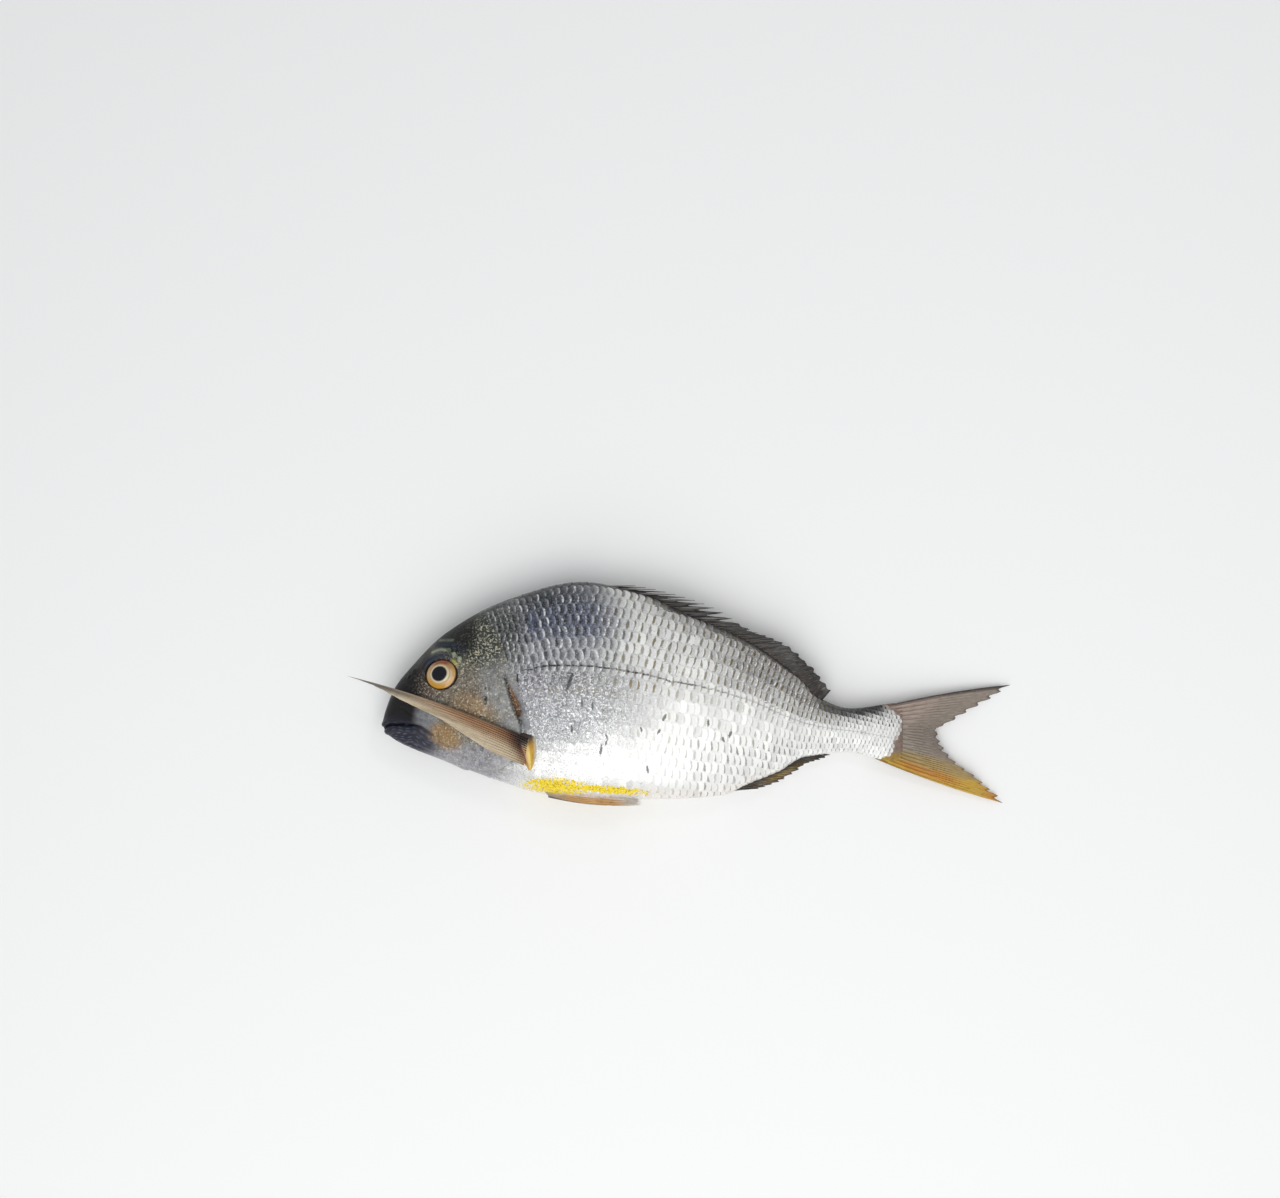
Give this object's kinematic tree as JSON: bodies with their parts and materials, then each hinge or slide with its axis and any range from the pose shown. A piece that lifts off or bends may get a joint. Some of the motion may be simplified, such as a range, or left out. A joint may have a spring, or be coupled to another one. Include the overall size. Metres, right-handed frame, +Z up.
{
  "type": "whole raw fish",
  "caption": "Whole raw sea bream lying on its right side, silver with scales, folded dorsal and anal fins, forked tail and one pectoral fin flipped forward over the cheek.",
  "frame": {"origin": "bottom centre of the whole fish's box, on the surface that its right flank lies on", "axes": "+X from the snout to the tail, +Y from the belly to the back, +Z up out of the left flank"},
  "size_m": [0.2676, 0.09, 0.0343],
  "materials": {
    "skin": "wet silver fish skin",
    "eye": "wet, clear over gold"
  },
  "bodies": {
    "root": {"fish": "skin", "left_eye": "eye", "right_eye": "eye"}
  },
  "joints": []
}
